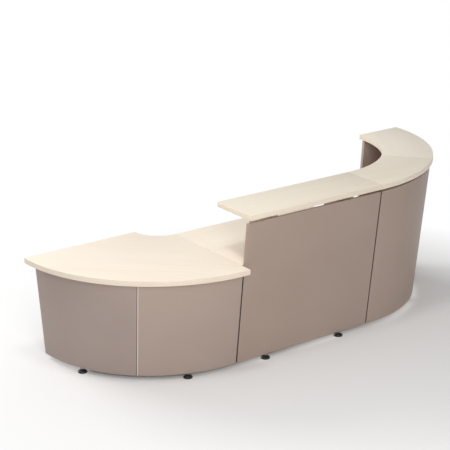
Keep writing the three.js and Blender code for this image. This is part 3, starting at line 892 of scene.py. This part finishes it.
# Each bracketed board: its module, heading, sideways offset, the bracket's radius, the top's underside
# and the sides that get one (0 is to the board's right, 180 to its left).
brackets = []
for post, module_x, heading, front, back_radius in GABLES:
    radius = (board_front(front, WORKTOP_UNDERSIDE, heading) + back_radius) / 2
    brackets.append((post, module_x, heading, 0.0, radius, WORKTOP_UNDERSIDE, (0, 180)))
for post, heading, offset in TALL_GABLES:
    sides = (180,) if post == "tall_end" else (0, 180)
    radius = board_front(TALL_FRONT, SHELF_UNDERSIDE, heading) - TALL_GABLE_DEPTH / 2
    brackets.append((post, RIGHT_MODULE_X, heading, offset, radius, SHELF_UNDERSIDE, sides))
for side, turn in (("left", 0), ("right", 180)):
    low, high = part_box(f"riser_straight_{side}")
    radius = board_front(FLAT_FRONT, SHELF_UNDERSIDE) - RISER_DEPTH / 2
    brackets.append((f"riser_{side}", (low.x + high.x) / 2, 0.0, 0.0, radius, SHELF_UNDERSIDE, (turn,)))
for post, module_x, heading, offset, radius, underside, sides in brackets:
    for turn in sides:
        spot = Matrix.Translation((offset, -radius, underside)) @ Matrix.Rotation(radians(turn), 4, "Z")
        place = module_place(module_x, heading) @ spot
        fix(bracket, f"angle_bracket_{post}_{turn}", place)
        upright_hole = (BOARD / 2 + BRACKET, 0, -BRACKET_LEG * BRACKET_HOLE)
        flat_hole = (BOARD / 2 + BRACKET_LEG * BRACKET_HOLE, 0, -BRACKET)
        fix(screw, f"bracket_screw_{post}_{turn}_side", place @ facing(upright_hole, (1, 0, 0)))
        fix(screw, f"bracket_screw_{post}_{turn}_up", place @ facing(flat_hole, (0, 0, -1)))

for side, module_x, heading, panel_top, front in SEAM_STRIPS:
    bottom, top = PANEL_BOTTOM + STRIP_MARGIN, panel_top - STRIP_MARGIN
    for row, share in enumerate(STRIP_ROWS):
        height = bottom + (top - bottom) * share
        aside = Vector((-push(LOW_FRONT, height), 0, 0)) if side == "low" else Vector((0, 0, 0))
        for column, across in enumerate(STRIP_COLUMNS):
            spot = Vector((across, STRIP - strip_front(front, height), height))
            place = Matrix.Translation(aside) @ module_place(module_x, heading)
            place = place @ facing(spot, (0, cos(PANEL_LEAN), sin(PANEL_LEAN)))
            fix(screw, f"strip_screw_{side}_{row}_{column}", place)

for place in ("worktop_front", "worktop_back", "shelf"):
    low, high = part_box(f"joining_plate_{place}")
    for corner, (share_x, share_y) in enumerate(PLATE_CORNERS):
        spot = (low.x + (high.x - low.x) * share_x, low.y + (high.y - low.y) * share_y, low.z)
        fix(screw, f"plate_screw_{place}_{corner}", facing(spot, (0, 0, -1)))
put_away(bracket, screw)


# Floor and light: a pale studio floor that runs out to white, a small lamp overhead, a broad one at the
# front left, one behind on the left, and an even white surround.
FLOOR_SIZE = 60.0
FLOOR_TONE = (0.868, 0.863, 0.855, 1)
FADE_MIDDLE = (-0.015, -0.362, 0.0)
FADE_TURN = radians(-59.7)
FADE_REACH = (2.576, 2.778, 1.0)
FADE_START = 0.586
SURROUND = 0.47

floor = start("grid", "studio_floor", x_subdivisions=8, y_subdivisions=8, size=FLOOR_SIZE)
floor_white, nodes, links, shader = add_material("studio_floor")
shader.inputs["Roughness"].default_value = 0.9
shader.inputs["Specular IOR Level"].default_value = 0.0
seen = nodes.new("ShaderNodeLightPath")
place = nodes.new("ShaderNodeTexCoord")
shader.inputs["Base Color"].default_value = FLOOR_TONE
oval = nodes.new("ShaderNodeMapping")
oval.vector_type = "TEXTURE"
oval.inputs["Location"].default_value = FADE_MIDDLE
oval.inputs["Rotation"].default_value = (0, 0, FADE_TURN)
oval.inputs["Scale"].default_value = FADE_REACH
links.new(place.outputs["Object"], oval.inputs["Vector"])
reach = nodes.new("ShaderNodeVectorMath")
reach.operation = "LENGTH"
links.new(oval.outputs["Vector"], reach.inputs[0])
white = nodes.new("ShaderNodeEmission")
direct = nodes.new("ShaderNodeMath")
direct.operation = "MAXIMUM"
links.new(seen.outputs["Is Camera Ray"], direct.inputs[0])
links.new(seen.outputs["Is Glossy Ray"], direct.inputs[1])
fade = nodes.new("ShaderNodeMath")
fade.operation = "MULTIPLY"
links.new(direct.outputs["Value"], fade.inputs[1])
spread(nodes, links, reach.outputs["Value"], FADE_START, 1.0, 0.0, 1.0, fade.inputs[0])
mixed = nodes.new("ShaderNodeMixShader")
links.new(fade.outputs["Value"], mixed.inputs["Fac"])
links.new(shader.outputs["BSDF"], mixed.inputs[1])
links.new(white.outputs["Emission"], mixed.inputs[2])
links.new(mixed.outputs["Shader"], nodes["Material Output"].inputs["Surface"])
floor.data.materials.append(floor_white)

world = bpy.data.worlds.new("studio")
scene.world = world
world.use_nodes = True
nodes, links = world.node_tree.nodes, world.node_tree.links
surround = nodes["Background"]
surround.inputs["Color"].default_value = (1, 1, 1, 1)
seen = nodes.new("ShaderNodeLightPath")
direct = nodes.new("ShaderNodeMath")
direct.operation = "MAXIMUM"
links.new(seen.outputs["Is Camera Ray"], direct.inputs[0])
links.new(seen.outputs["Is Transmission Ray"], direct.inputs[1])
spread(nodes, links, direct.outputs["Value"], 0.0, 1.0, SURROUND, 1.0, surround.inputs["Strength"])

LAMP_AIM = Vector((0, 0, 0.5))
LAMPS = (
    ("top_lamp", (-1.62, -0.97, 5.0), 0.80, 42.0),
    ("fill_lamp", (-3.7, -6.2, 3.6), 3.0, 258.0),
    ("back_lamp", (-2.4, 4.2, 3.2), 2.5, 142.0),
)
for name, spot, size, power in LAMPS:
    lamp = bpy.data.lights.new(name, "AREA")
    lamp.size = size
    lamp.energy = power
    holder = bpy.data.objects.new(name, lamp)
    holder.location = spot
    holder.rotation_mode = "QUATERNION"
    holder.rotation_quaternion = (LAMP_AIM - Vector(spot)).to_track_quat("-Z", "Y")
    scene.collection.objects.link(holder)


# Camera: at the photograph's viewpoint, from the front left and above, with a long lens. Its place,
# turn and lens come from a fit to the desk's edges.
CAMERA_SPOT = (-5.64666, -7.44583, 4.01936)
CAMERA_YAW = radians(35.293)
CAMERA_PITCH = radians(19.119)
CAMERA_ROLL = radians(-0.485)
CAMERA_LENS = 115.56

flat_way = cos(CAMERA_PITCH)
ahead = Vector((sin(CAMERA_YAW) * flat_way, cos(CAMERA_YAW) * flat_way, -sin(CAMERA_PITCH)))
level = Vector((cos(CAMERA_YAW), -sin(CAMERA_YAW), 0))
upward = level.cross(ahead)
right = cos(CAMERA_ROLL) * level + sin(CAMERA_ROLL) * upward
upright = -sin(CAMERA_ROLL) * level + cos(CAMERA_ROLL) * upward
camera = bpy.data.objects.new("camera", bpy.data.cameras.new("camera"))
camera.data.lens = CAMERA_LENS
camera.data.sensor_width = 36.0
camera.matrix_world = Matrix.Translation(CAMERA_SPOT) @ Matrix((right, upright, -ahead)).transposed().to_4x4()
scene.collection.objects.link(camera)
scene.camera = camera
